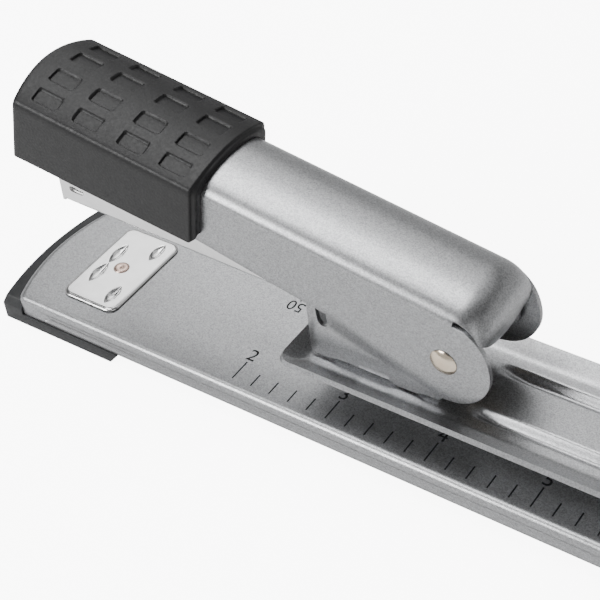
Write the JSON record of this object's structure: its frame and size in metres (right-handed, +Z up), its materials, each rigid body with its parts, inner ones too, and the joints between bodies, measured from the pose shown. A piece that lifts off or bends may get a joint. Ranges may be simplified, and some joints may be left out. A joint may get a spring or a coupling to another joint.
{
  "type": "long reach stapler",
  "caption": "Long reach desk stapler: flat ruled base with turning anvil, sprung arm hinged at the rear, and a pivoting stapling head with a black grip cap.",
  "frame": {"origin": "On the resting plane, straight below the staple line, in the middle plane. It lies on the underside of the front foot.", "axes": "+X from the staple line to the rear hinge, +Y to the side with the millimetre scale, +Z up."},
  "size_m": [0.3613, 0.0406, 0.07],
  "materials": {
    "silver_paint": "satin metallic silver paint on pressed steel",
    "gray_plastic": "moulded dark grey plastic",
    "black_plastic": "grained black plastic",
    "nickel_plate": "bright nickel plate",
    "plain_steel": "zinc plated steel",
    "spring_steel": "oiled spring steel",
    "copper_plate": "copper plated rivet",
    "gold_plate": "yellow passivated rivet",
    "staple_wire": "galvanised wire, glued into a strip"
  },
  "bodies": {
    "base": {"base_plate": "silver_paint", "front_foot": "gray_plastic", "rear_foot": "gray_plastic", "hinge_bracket": "silver_paint", "hinge_rivets": "plain_steel", "arm_hinge_pin": "plain_steel", "arm_spring": "spring_steel", "anvil_spring": "spring_steel"},
    "anvil": {"anvil_plate": "nickel_plate", "anvil_rivet": "copper_plate"},
    "arm": {"arm": "silver_paint", "head_bracket": "silver_paint", "bracket_rivets": "plain_steel", "pivot_rivet": "gold_plate", "pivot_washers": "plain_steel", "magazine_spring": "spring_steel"},
    "magazine": {"magazine": "nickel_plate", "staple_rail": "nickel_plate", "rail_rivets": "plain_steel", "stop_studs": "plain_steel", "pusher_rod": "plain_steel", "staple_strip": "staple_wire", "pusher_spring": "spring_steel"},
    "pusher": {"pusher": "black_plastic"},
    "handle": {"handle_shell": "silver_paint", "handle_cap": "black_plastic", "cap_screw": "plain_steel", "driver_blade": "plain_steel", "driver_rivet": "plain_steel", "handle_spring": "spring_steel", "spring_rivet": "plain_steel"}
  },
  "joints": [
    {"name": "arm_hinge", "type": "hinge", "parent": "base", "child": "arm", "pos_m": [0.318, 0, 0.0146], "axis": [0, -1, 0], "range_deg": [0, 1.35], "stiffness_Nm_per_rad": 60, "springref_deg": -1.15},
    {"name": "magazine_pivot", "type": "hinge", "parent": "arm", "child": "magazine", "pos_m": [0.1039, 0, 0.0347], "axis": [0, -1, 0], "range_deg": [0, 9], "stiffness_Nm_per_rad": 0.6, "springref_deg": -6.88, "deforming": ["magazine_spring"]},
    {"name": "handle_pivot", "type": "hinge", "parent": "magazine", "child": "handle", "pos_m": [0.1039, 0, 0.0347], "axis": [0, -1, 0], "range_deg": [-80, 4.1], "stiffness_Nm_per_rad": 0.2, "springref_deg": -10.54, "deforming": ["handle_spring"]},
    {"name": "pusher_slide", "type": "slide", "parent": "magazine", "child": "pusher", "axis": [0.9996, 0, -0.0279], "range_m": [0, 0.028], "stiffness_N_per_m": 60, "springref_m": -0.02, "deforming": ["pusher_spring"]},
    {"name": "anvil_turn", "type": "hinge", "parent": "base", "child": "anvil", "pos_m": [0.00455, 0, 0.0092], "axis": [0, 0, 1], "range_deg": [0, 180]}
  ]
}
